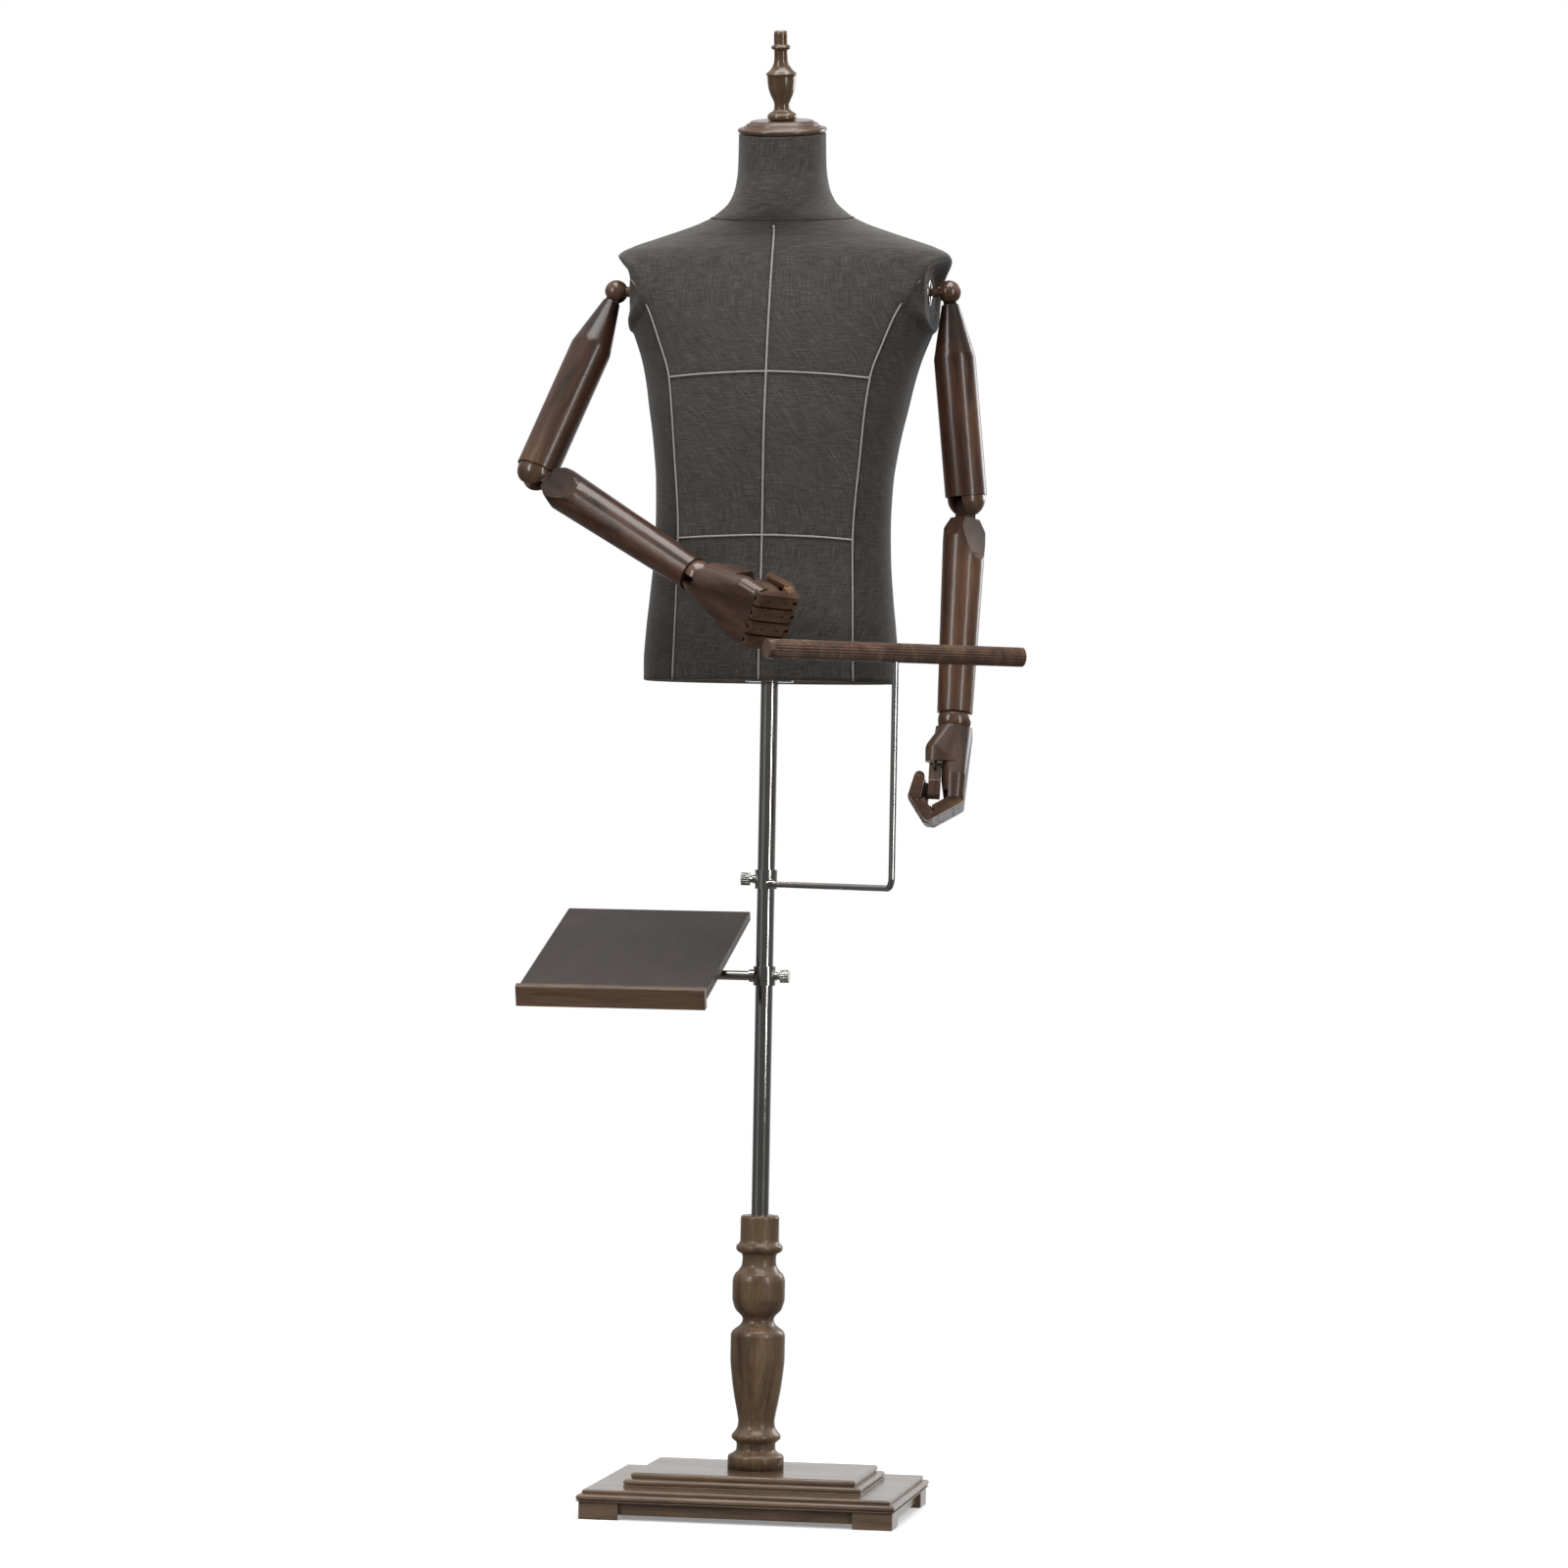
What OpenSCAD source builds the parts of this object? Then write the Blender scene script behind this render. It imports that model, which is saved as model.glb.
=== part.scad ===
// Male display form with jointed wooden arms on a telescoping chrome stand.
// Units are millimetres.  The origin is on the pole axis at floor level.
// +Z is up, the chest faces -Y, the form's left arm is on the +X side.

/* [Base] */
// Width of the base tray, left to right
base_w = 400; // [360:5:460]
// Depth of the base tray, front to back
base_d = 300; // [280:5:360]
// Height of the corner foot blocks
foot_h = 22; // [18:1:26]
// Length of each side of a foot block
foot_l = 50; // [40:1:70]

/* [Stand] */
// Diameter of the chrome pole
pole_dia = 22; // [18:1:24]
// Height of the top of the turned column
column_top = 373; // [360:1:400]
// Height of the pole's upper end, inside the form
pole_top = 1400; // [1300:5:1410]

/* [Trouser rail] */
// Height of the middle of the rail collar
rail_z = 797; // [780:1:830]
// Distance from the pole to the upright rod of the rail
rail_reach = 336; // [300:2:360]
// Length of the trouser bar
bar_len = 350; // [280:5:380]
// Diameter of the trouser bar
bar_dia = 24; // [20:1:28]
// Turn of the rail round the pole, from the front towards the left arm
rail_turn = 36.7; // [0:0.1:60]

/* [Tray] */
// Height of the tray arm
tray_z = 675; // [640:1:690]
// Width of the shelf tray
tray_w = 240; // [200:5:260]
// Tilt of the tray from level
tray_tilt = 17.5; // [0:0.5:30]
// Thickness of the tray board
tray_t = 12; // [9:0.5:15]

/* [Form] */
// Thickness of the rigid shell
shell_t = 6; // [4:0.5:8]
// Thickness of the fabric cover
cover_t = 1.2; // [0.8:0.1:2]
// Forward lean of the neck top
neck_lean = 12; // [8:1:14]

/* [Arms] */
// Radius of the upper arm at its full width
arm_r = 26.5; // [26:0.5:28]
// Radius of the forearm at the wrist end
wrist_end_r = 22.3; // [22:0.1:24]
// Radius of the elbow ball
elbow_r = 24; // [22:0.5:24]
// Radius of the wrist ball
wrist_r = 21.5; // [20:0.5:21.5]
// Radius of the shoulder ball
shoulder_r = 15; // [14:0.5:17]

/* [Hands] */
// Distance between neighbouring fingers
finger_pitch = 19.5; // [18:0.1:21]
// Width of a finger
finger_w = 16.6; // [14:0.1:17.4]
// Thickness of a finger
finger_t = 15; // [13:0.5:16]
// Bend of the first finger joint as posed
mcp = 58; // [30:1:70]
// Bend of the second finger joint as posed
pip = 88; // [60:1:90]
// Bend of the fingertip, set when assembled
dip = 46; // [20:1:50]

/* [Hidden] */
$fn = 64;
fit = 0.05;      // radial clearance of a turning or sliding fit
gap = 0.3;       // clearance between curved faces that move past each other
dark = "#2e2119";
wood = "#6b5440";
taupe = "#6e5f4b";
chrome = "#c4c6c8";

// ---- joint centres of the arms (x, y, z), left arm then right arm ----
SL = [214.5, 40, 1543];   EL = [240.5, 43, 1282.3];  WL = [237, -5, 1000.4];
SR = [-214.5, 40, 1543];  ER = [-298, -39, 1307.4];  WR = [-68, -140, 1171];
function unit(v) = v / norm(v);
// palm normals: left palm faces the thigh, right palm faces the belly
dL2 = unit(WL - EL);  dR2 = unit(WR - ER);
function perp(v, d) = unit(v - (v * d) * d);
nL = perp([-1, -0.12, 0], dL2);
nR = perp([0.50, 0.84, 0.22], dR2);

module at(o, x, z) {
  y = cross(z, x);
  multmatrix([[x[0], y[0], z[0], o[0]], [x[1], y[1], z[1], o[1]], [x[2], y[2], z[2], o[2]], [0, 0, 0, 1]]) children();
}

// ---- smooth curve through a table, column c, at z ----
function idx(T, z, i = 0) = (i >= len(T) - 2 || z < T[i + 1][0]) ? i : idx(T, z, i + 1);
function slope(T, i, c) = (T[i + 1][c] - T[i][c]) / (T[i + 1][0] - T[i][0]);
function tang(T, i, c) = i == 0 ? slope(T, 0, c) : i == len(T) - 1 ? slope(T, i - 1, c)
  : let (a = slope(T, i - 1, c), b = slope(T, i, c)) a * b <= 0 ? 0 : 2 * a * b / (a + b);
function interp(T, z, c) = let (i = idx(T, z), h = T[i + 1][0] - T[i][0], t = (z - T[i][0]) / h,
  m0 = tang(T, i, c) * h, m1 = tang(T, i + 1, c) * h)
  (2 * t * t * t - 3 * t * t + 1) * T[i][c] + (t * t * t - 2 * t * t + t) * m0
  + (3 * t * t - 2 * t * t * t) * T[i + 1][c] + (t * t * t - t * t) * m1;

// ================= base =================
// a board with the same moulded edge on all four sides; P is the half profile as [inset, z] pairs
module moulded(w, d, P) {
  module bar(len, half) {
    pts = concat([for (p = P) [half - p[0], p[1]]], [for (i = [len(P) - 1:-1:0]) [-(half - P[i][0]), P[i][1]]]);
    translate([0, len / 2, 0]) rotate([90, 0, 0]) linear_extrude(len) polygon(pts);
  }
  intersection() { bar(d + 2, w / 2); rotate([0, 0, 90]) bar(w + 2, d / 2); }
}
function bead(cx, cz, r, a0, a1, n = 8) = [for (i = [0:n]) let (a = a0 + (a1 - a0) * i / n) [cx - r * cos(a), cz + r * sin(a)]];
module base_feet() {
  color(dark) for (sx = [-1, 1], sy = [-1, 1])
    translate([sx * (base_w / 2 - foot_l / 2 - 3), sy * (base_d / 2 - foot_l / 2 - 3), 0]) difference() {
      translate([-foot_l / 2, -foot_l / 2, 0]) cube([foot_l, foot_l, foot_h]);
      // the inner corner of the block is cut away, so each foot is an angle bracket of wood
      translate([-sx * foot_l / 2 - (sx > 0 ? 1 : foot_l / 2), -sy * foot_l / 2 - (sy > 0 ? 1 : foot_l / 2), -1])
        cube([foot_l / 2 + 1, foot_l / 2 + 1, foot_h + 2]);
    }
}
module base_apron() {
  x0 = base_w / 2 - 3 - foot_l; y0 = base_d / 2 - 3 - foot_l;
  color(dark) for (s = [-1, 1]) {
    translate([-x0, s > 0 ? base_d / 2 - 27 : -base_d / 2 + 9, 6]) cube([2 * x0, 18, foot_h - 6]);
    translate([s > 0 ? base_w / 2 - 27 : -base_w / 2 + 9, -y0, 6]) cube([18, 2 * y0, foot_h - 6]);
  }
}
module base_lower_tier() {
  P = concat([[0, foot_h], [0, foot_h + 1]], bead(4, foot_h + 5, 4, -90, 90), [[5.5, foot_h + 9]],
    bead(9, foot_h + 12, 2.6, -60, 90), [[12, foot_h + 14.6]]);
  color(dark) difference() { moulded(base_w, base_d, P); translate([0, 0, foot_h - 1]) cylinder(r = 5.1, h = 40); }
}
module base_upper_tier() {
  z0 = foot_h + 14.6;
  P = concat([[0, z0], [0, z0 + 2]], bead(3.5, z0 + 5.5, 3.5, -90, 90), [[6, z0 + 9]], bead(12, z0 + 13, 4, -60, 90), [[15, z0 + 17]]);
  color(dark) difference() { moulded(base_w - 100, base_d - 100, P); translate([0, 0, z0 - 1]) cylinder(r = 5.1, h = 40); }
}
module base_bolt() {
  // carriage bolt with its washer, up through both boards into the column
  color(chrome) {
    translate([0, 0, foot_h - 2]) cylinder(r = 14, h = 2);
    translate([0, 0, foot_h - 8]) cylinder(r = 9, h = 6, $fn = 6);
    translate([0, 0, foot_h - 2]) cylinder(r = 5, h = 112);
  }
}

// ================= column and pole =================
col_z = foot_h + 14.6 + 17;
// height above the column's foot, radius
COL = [[0, 35.5], [15, 35.5], [18, 34], [21, 28], [25, 24.8], [33, 24.6], [36, 28], [39, 31], [42, 31], [46, 28.6],
  [50, 25.4], [54, 23.6], [60, 23], [68, 24], [80, 26.4], [100, 30], [120, 32.6], [140, 34.3], [168, 34.3], [174, 32.4],
  [177, 29], [181, 23.6], [185, 20.6], [189, 19.6], [193, 21.4], [197, 25.4], [201, 29], [208, 31.6], [216, 33.2],
  [236, 33.2], [246, 30.6], [249, 27.4], [252, 25], [257, 22], [266, 21.2], [271, 22], [274, 27], [277, 29.4],
  [282, 29.2], [285, 25.4], [290, 24.4], [312, 24.4], [317, 24.4], [320, 22.6]];
module column() {
  top = column_top - col_z;
  k = top / 320;
  pts = [for (i = [0:159]) let (z = i * 320 / 159) [interp(COL, z, 1), col_z + z * k]];
  color(taupe) difference() {
    rotate_extrude() polygon(concat([[0, col_z]], pts, [[0, column_top]]));
    translate([0, 0, col_z - 1]) cylinder(r = 5.1, h = foot_h + 110 - col_z + 1.5);
    translate([0, 0, 255]) cylinder(r = pole_dia / 2, h = 300);
  }
}
module pole() { color(chrome) translate([0, 0, 255]) cylinder(r = pole_dia / 2, h = pole_top - 255); }

// ================= clamp collars =================
bush_r = pole_dia / 2 + 1.2;
collar_r = 14;
module bush(z) {
  color("white") translate([0, 0, z - 11]) difference() {
    cylinder(r = bush_r, h = 22);
    translate([0, 0, -1]) cylinder(r = pole_dia / 2 + fit, h = 30);
  }
}
// side is +1 when the screw points to +X
module collar(z, side, h) {
  color(chrome) difference() {
    union() {
      translate([0, 0, z - h / 2]) cylinder(r = collar_r, h = h);
      translate([side * 12.6, 0, z]) rotate([0, side * 90, 0]) cylinder(r = 5.4, h = 4.4);
    }
    translate([0, 0, z - h / 2 - 1]) cylinder(r = bush_r + fit, h = h + 2);
    translate([0, 0, z]) rotate([0, side * 90, 0]) cylinder(r = 3 + fit, h = 40);
  }
}
module thumb_screw(z, side) {
  // knurled knob on a threaded shank
  color("#d9d6cf") translate([0, 0, z]) rotate([0, side * 90, 0]) {
    translate([0, 0, bush_r + 0.3]) cylinder(r = 3, h = 16);
    translate([0, 0, 17.6]) cylinder(r = 4.6, h = 3);
    difference() {
      translate([0, 0, 20.6]) cylinder(r = 8.2, h = 11);
      for (i = [0:17]) rotate([0, 0, i * 20]) translate([8.6, 0, 20]) cylinder(r = 0.9, h = 12.6, $fn = 16);
    }
  }
}
module rail_bush() { bush(rail_z); }
module rail_collar() {
  color(chrome) difference() {
    union() { collar(rail_z, -1, 24); rotate([0, 0, rail_turn]) translate([0, -12.6, rail_z - 6]) rotate([90, 0, 0]) cylinder(r = 6.4, h = 7.4); }
    translate([0, 0, rail_z - 20]) cylinder(r = bush_r + fit, h = 40);
    rotate([0, 0, rail_turn]) translate([0, -14, rail_z - 6]) rotate([90, 0, 0]) cylinder(r = 4, h = 20);
  }
}
module rail_screw() { thumb_screw(rail_z, -1); }
rod_r = 4;
bend_r = 12;
bar_z = 1076;
module rail_bracket() {
  zr = rail_z - 6;
  color(chrome) rotate([0, 0, rail_turn]) {
    translate([0, -14, zr]) rotate([90, 0, 0]) cylinder(r = rod_r, h = rail_reach - bend_r - 14);
    translate([0, -rail_reach + bend_r, zr + bend_r]) rotate([0, -90, 0]) rotate([0, 0, 180]) rotate_extrude(angle = 90) translate([bend_r, 0]) circle(r = rod_r);
    translate([0, -rail_reach, zr + bend_r]) cylinder(r = rod_r, h = bar_z - 4 - zr - bend_r);
  }
}
module rail_bar() {
  // reeded hardwood bar across the top of the upright
  n = 20; r = bar_dia / 2; g = 1.1;
  pts = [for (i = [0:n * 6 - 1]) let (a = i * 60 / n, u = abs(sin(a * n / 2))) [(r - g + g * u) * cos(a), (r - g + g * u) * sin(a)]];
  color(wood) rotate([0, 0, rail_turn]) difference() {
    translate([-bar_len / 2, -rail_reach, bar_z]) rotate([0, 90, 0]) union() {
      translate([0, 0, 6]) linear_extrude(bar_len - 12) polygon(pts);
      cylinder(r = r, h = 7);
      translate([0, 0, bar_len - 7]) cylinder(r = r, h = 7);
    }
    translate([0, -rail_reach, bar_z - 30]) cylinder(r = rod_r, h = 26);
  }
}

// ================= shelf tray =================
module tray_bush() { bush(tray_z); }
module tray_collar() {
  color(chrome) difference() {
    union() { collar(tray_z, 1, 24); translate([-12.6, 0, tray_z]) rotate([0, -90, 0]) cylinder(r = 8, h = 6.4); }
    translate([0, 0, tray_z - 20]) cylinder(r = bush_r + fit, h = 40);
    translate([-13.2, 0, tray_z]) rotate([0, -90, 0]) cylinder(r = 6, h = 20);
  }
}
module tray_screw() { thumb_screw(tray_z, 1); }
tray_x1 = -50;
module tray_arm() {
  color(chrome) {
    translate([-13.2, 0, tray_z]) rotate([0, -90, 0]) cylinder(r = 6, h = 186);
    // stop collar and end cap either side of the pivot block
    translate([-199.2, 0, tray_z]) rotate([0, -90, 0]) cylinder(r = 8.5, h = 5);
    translate([-134, 0, tray_z]) rotate([0, -90, 0]) difference() { cylinder(r = 8.5, h = 4.8); translate([0, 0, -1]) cylinder(r = 5.9, h = 8); }
  }
}
module tray_frame() { translate([0, 0, tray_z]) rotate([tray_tilt, 0, 0]) children(); }
tray_b = 10.9;   // from the arm's axis to the underside of the board
module tray_board() {
  color("#4a4440") tray_frame() translate([tray_x1 - tray_w, -130, tray_b]) cube([tray_w, 318, tray_t]);
}
module tray_lip() {
  // front rail with a rounded upper edge, standing proud of the board
  color(wood) tray_frame() translate([tray_x1, 0, 0]) rotate([0, -90, 0]) linear_extrude(tray_w) union() {
    translate([2, -142]) square([23.5, 12]);
    translate([23, -139.5]) square([6, 7]);
    translate([25.5, -138.5]) circle(r = 3.5);
    translate([25.5, -133.5]) circle(r = 3.5);
  }
}
module tray_pivot_block() {
  color(wood) tray_frame() translate([-164, 0, 0]) rotate([0, -90, 0]) difference() {
    translate([0, 0, -25]) linear_extrude(60) union() { circle(r = 10.8); translate([0, -24]) square([tray_b, 48]); }
    translate([0, 0, -30]) cylinder(r = 6 + fit, h = 80);
  }
}

// ================= form =================
// height, half width, front y, back y, roundness (2 = ellipse), lean of the ring in degrees
TORSO = [[1045, 160, -88, 99, 2.25, 0], [1070, 160.5, -89, 100, 2.25, 0], [1114, 157.5, -88, 95, 2.25, 0], [1150, 154, -85, 89, 2.2, 0],
  [1200, 150, -81, 86, 2.2, 0], [1250, 148.5, -80, 90, 2.2, 0], [1300, 150, -81, 100, 2.2, 0], [1336, 154, -81, 113, 2.2, 0],
  [1366, 158.5, -80, 126, 2.25, 0], [1395, 164, -77, 138, 2.3, 0], [1425, 169.5, -73, 149, 2.3, 0], [1455, 177, -69, 157, 2.3, 0],
  [1485, 188, -64, 161, 2.3, 0], [1510, 198, -59, 162, 2.3, 0], [1535, 206, -53, 159, 2.3, 0], [1560, 213, -46, 152, 2.25, 0],
  [1578, 216, -41, 144, 2.2, 0], [1590, 211, -37, 137, 2.1, 0], [1600, 192, -34, 130, 1.95, 1], [1610, 162, -32, 123, 1.85, 2],
  [1620, 131, -32, 116, 1.85, 4], [1630, 103, -33, 109, 1.9, 6], [1642, 81, -35, 102, 2, 8], [1656, 66, -36, 96, 2, 10],
  [1675, 58, -35, 90, 2, 11], [1700, 54.8, -31, 82, 2, 12], [1743, 54, -32, 76, 2, 12]];
NSEG = 48;
// heights of the rings
RZ = [1047, 1062, 1085, 1114, 1145, 1180, 1215, 1250, 1285, 1318, 1348, 1376, 1403, 1430, 1455, 1474, 1490, 1504, 1518, 1532, 1546, 1558,
  1568, 1577, 1585, 1592, 1599, 1606, 1613, 1620, 1628, 1637, 1648, 1661, 1677, 1697, 1719, 1742];
arm_y = 40; arm_z = 1540; wall_x = 186;
function smooth(t) = let (u = max(0, min(1, t))) u * u * (3 - 2 * u);
// weight of the armhole recess at (y, z)
function recess(y, z) = smooth((1.45 - sqrt(pow((y - arm_y) / 50, 2) + pow((z - arm_z) / 36, 2))) / 0.5);
// a ring of the form at height z; e pushes the surface out (or in when negative), dz lowers the profile that is read
function ring(z, e, dz) = let (q = min(1743, max(1045, z + dz)), a = interp(TORSO, q, 1) + e, f = interp(TORSO, q, 2) - e,
    b = interp(TORSO, q, 3) + e, n = interp(TORSO, q, 4), t = interp(TORSO, q, 5), c = (f + b) / 2, h = (b - f) / 2)
  [for (i = [0:NSEG - 1]) let (w = i * 360 / NSEG, cw = cos(w), sw = sin(w),
      x0 = a * sign(cw) * pow(abs(cw), 2 / n), y = c + h * sign(sw) * pow(abs(sw), 2 / n),
      lim = wall_x + e, ax = abs(x0), x = sign(x0) * (ax - max(0, ax - lim) * recess(y, z)))
    [x, y, z + (y - c) * tan(t)]];
function rings_pts(R) = [for (r = R) each r];
function wall(k0, k1, flip) = [for (i = [0:NSEG - 1]) let (j = (i + 1) % NSEG, a = k0 * NSEG + i, b = k0 * NSEG + j, c = k1 * NSEG + j, d = k1 * NSEG + i)
  each (flip ? [[a, b, c], [a, c, d]] : [[a, c, b], [a, d, c]])];
function t_up(z) = smooth((z - 1470) / 110);
module torso_shell() {
  N = len(RZ);
  outer = [for (z = RZ) ring(z, 0, 0)];
  inner = [for (i = [0:N - 1]) ring(i == N - 1 ? RZ[i] - shell_t * 1.6 : RZ[i], -shell_t, shell_t * 1.1 * t_up(RZ[i]))];
  faces = concat([for (k = [0:N - 2]) each wall(k, k + 1, false)], [for (k = [N:2 * N - 2]) each wall(k, k + 1, true)],
    wall(0, N, true), [[for (i = [NSEG - 1:-1:0]) (N - 1) * NSEG + i]], [[for (i = [0:NSEG - 1]) (2 * N - 1) * NSEG + i]]);
  color("#8a8378") difference() {
    polyhedron(points = rings_pts(concat(outer, inner)), faces = faces, convexity = 6);
    for (s = [-1, 1]) translate([s * 150, arm_y, 1543]) rotate([0, s * 90, 0]) cylinder(r = 9.1, h = 90);
  }
}
module torso_cover() {
  N = len(RZ);
  inner = [for (z = RZ) ring(z, 0, 0)];
  outer = [for (z = RZ) ring(z, cover_t, -cover_t * t_up(z))];
  faces = concat([for (k = [0:N - 2]) each wall(k, k + 1, false)], [for (k = [N:2 * N - 2]) each wall(k, k + 1, true)],
    wall(0, N, true), wall(N - 1, 2 * N - 1, false));
  color("#4b4845") difference() {
    polyhedron(points = rings_pts(concat(outer, inner)), faces = faces, convexity = 6);
    for (s = [-1, 1]) translate([s * 150, arm_y, 1543]) rotate([0, s * 90, 0]) cylinder(r = 9.1, h = 90);
  }
}
module inner_board(z, t) {
  P = ring(z + t / 2, -shell_t - 0.7, 0);
  translate([0, 0, z]) difference() {
    linear_extrude(t) polygon([for (p = P) [p[0], p[1]]]);
    translate([0, 0, -1]) cylinder(r = 15 + fit, h = t + 2);
  }
}
module torso_base_board() { color(wood) inner_board(1050, 18); }
module torso_brace() { color(wood) inner_board(1392, 15); }
module pole_socket() {
  color(chrome) difference() {
    union() { translate([0, 0, 1046]) cylinder(r = 15, h = 402); translate([0, 0, 1046]) cylinder(r = 30, h = 4); }
    translate([0, 0, 1040]) cylinder(r = pole_dia / 2 + fit, h = 402);
  }
}
module neck_frame() { translate([0, 22, 1743]) rotate([neck_lean, 0, 0]) children(); }
module neck_cap() {
  color(dark) neck_frame() translate([0, 0, 0.6]) rotate_extrude() union() {
    polygon(concat([[0, 0], [53, 0]], [for (i = [0:8]) let (a = -90 + i * 22.5) [53.2 + 3.4 * cos(a), 3.6 + 3.4 * sin(a)]],
      [[50, 7.2], [49, 8.6], [46.6, 9.4]], [for (i = [0:5]) let (a = i * 18) [43 + 3 * cos(a), 9.8 + 2.6 * sin(a)]],
      [[41, 13.4], [40, 15], [38, 15.6], [0, 16]]));
  }
}
// height above the cap, radius
FIN = [[0, 15], [1, 17.6], [3.5, 18.8], [6.5, 18.4], [9, 16], [11, 12.6], [14, 10.2], [20, 9.8], [24, 10.8], [32, 14.4], [40, 16.8],
  [50, 17.9], [56, 18.1], [57.2, 19.6], [59, 19.6], [60.4, 17.4], [64, 13.6], [69, 10.6], [76, 8.9], [88, 8.6], [89.4, 11.4], [91.4, 12.5],
  [93.4, 11.6], [95, 8.8], [108, 8.7], [111, 8.2], [112.4, 6.4]];
module finial() {
  pts = [for (i = [0:119]) let (z = i * 112.4 / 119) [interp(FIN, z, 1), z]];
  color("#7d6a4f") neck_frame() translate([0, 0, 16.6]) rotate_extrude() polygon(concat([[0, 0]], pts, [[0, 112.4]]));
}

// ================= arms =================
// s = +1 for the left arm on +X, -1 for the right arm
function S(s) = s > 0 ? SL : SR;
function E(s) = s > 0 ? EL : ER;
function W(s) = s > 0 ? WL : WR;
function d1(s) = unit(E(s) - S(s));
function d2(s) = unit(W(s) - E(s));
function hs(s) = unit(cross(d1(s), [s, 0, 0]));
function he(s) = unit(cross(d1(s), d2(s)));
function hn(s) = s > 0 ? nL : nR;
// hand frame: z along the palm, y out of the back of the hand, x across it
function hx(s) = cross(-hn(s), d2(s));
sh_pin = 2; el_pin = 3; wr_pin = 2.5;

module shoulder_plate(s) {
  color(chrome) difference() {
    translate([s * (wall_x + cover_t), arm_y, 1543]) rotate([0, s * 90, 0]) union() { cylinder(r = 17, h = 4); translate([0, 0, -24]) cylinder(r = 9, h = 26); }
    translate([s * 150, arm_y, 1543]) rotate([0, s * 90, 0]) cylinder(r = 5 + fit, h = 60);
  }
}
module shoulder_ball(s) {
  th = 10.6;
  color(dark) translate(S(s)) difference() {
    union() { sphere(r = shoulder_r); rotate([0, -s * 90, 0]) cylinder(r = 6.6, h = 21); rotate([0, -s * 90, 0]) cylinder(r = 5, h = 48); }
    // slot for the upper arm's tongue, open outwards and downwards
    at([0, 0, 0], hs(s), d1(s)) translate([-th / 2, -30, 0]) { translate([0, 0, -9]) cube([th, 39, 40]); translate([0, 0, 2]) cube([th, 43, 40]); }
  }
  color(chrome) translate(S(s)) at([0, 0, 0], hs(s), d1(s)) rotate([0, 90, 0]) translate([0, 0, -11]) cylinder(r = sh_pin, h = 22);
}
module upper_arm(s) {
  L = norm(E(s) - S(s));
  color(wood) at(S(s), hs(s), d1(s)) difference() {
    union() {
      rotate([0, 90, 0]) translate([0, 0, -5]) cylinder(r = 8, h = 10);
      translate([-5, -8, 0]) cube([10, 16, 30]);
      translate([0, 0, 16]) cylinder(r1 = 11, r2 = arm_r, h = 68);
      translate([0, 0, 84]) cylinder(r = arm_r, h = L - 3 - 84);
    }
    rotate([0, 90, 0]) translate([0, 0, -20]) cylinder(r = sh_pin + fit, h = 40);
    translate([0, 0, L]) sphere(r = elbow_r + gap);
    translate([0, 0, L - 50 - 15]) cylinder(r = 6 + fit, h = 60);
  }
}
module elbow_ball(s) {
  th = 20.6;
  color(dark) at(E(s), he(s), d1(s)) {
    difference() {
      union() { sphere(r = elbow_r); translate([0, 0, -60]) cylinder(r = 6, h = 60); }
      translate([-th / 2, -30, -11]) cube([th, 60, 60]);
    }
    rotate([0, 90, 0]) translate([0, 0, -18]) cylinder(r = el_pin, h = 36);
  }
}
module forearm(s) {
  L = norm(W(s) - E(s));
  color(wood) at(E(s), he(s), d2(s)) difference() {
    union() {
      rotate([0, 90, 0]) translate([0, 0, -10]) cylinder(r = 8, h = 20);
      translate([-10, -8, 0]) cube([20, 16, 30]);
      intersection() {
        translate([0, 0, 26]) cylinder(r1 = 27.6, r2 = wrist_end_r, h = L - 10 - 26);
        // wedge of the elbow end: wide across the hinge, narrower along its pin
        rotate([90, 0, 90]) translate([0, 0, -40]) linear_extrude(80) polygon([[-14, 26], [-21, 38], [-28, 54], [-28, L], [28, L], [28, 54], [21, 38], [14, 26]]);
        rotate([90, 0, 0]) translate([0, 0, -40]) linear_extrude(80) polygon([[-12, 26], [-17, 48], [-28, 88], [-28, L], [28, L], [28, 88], [17, 48], [12, 26]]);
      }
    }
    rotate([0, 90, 0]) translate([0, 0, -20]) cylinder(r = el_pin + fit, h = 40);
    translate([0, 0, L]) sphere(r = wrist_r + gap);
    translate([0, 0, L - 55]) cylinder(r = 5 + fit, h = 60);
  }
}
module wrist_ball(s) {
  th = 12.6;
  color(dark) at(W(s), hx(s), d2(s)) {
    difference() {
      union() { sphere(r = wrist_r); translate([0, 0, -50]) cylinder(r = 5, h = 50); }
      translate([-th / 2, -30, -9]) cube([th, 60, 60]);
    }
    rotate([0, 90, 0]) translate([0, 0, -16]) cylinder(r = wr_pin, h = 32);
  }
}

// ---- hand, drawn for the right hand in its own frame; the left hand is its mirror ----
knuckle_z = 104; knuckle_y = 10; kr = finger_t / 2;
Lp = 44; Lm = 32; Ld = 30;
// the thumb's first hinge, its swing out from the fingers, and the length of its first segment
thumb_z = 66; thumb_y = -20; thumb_x = 22; thumb_out = 12; thumb_r = 7.5; Lt = 19;
function fx(i) = (1.5 - i) * finger_pitch;
module hand(s) { at(W(s), hx(s), d2(s)) mirror([s > 0 ? 1 : 0, 0, 0]) children(); }
// the fork end of a segment: a thin tongue with a pin hole at the hinge
module tongue(r, w, back, hole) {
  difference() {
    union() { rotate([0, 90, 0]) translate([0, 0, -w / 2]) cylinder(r = r, h = w); translate([-w / 2, -r, -back]) cube([w, 2 * r, back]); }
    rotate([0, 90, 0]) translate([0, 0, -w]) cylinder(r = hole, h = 2 * w);
  }
}
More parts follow.
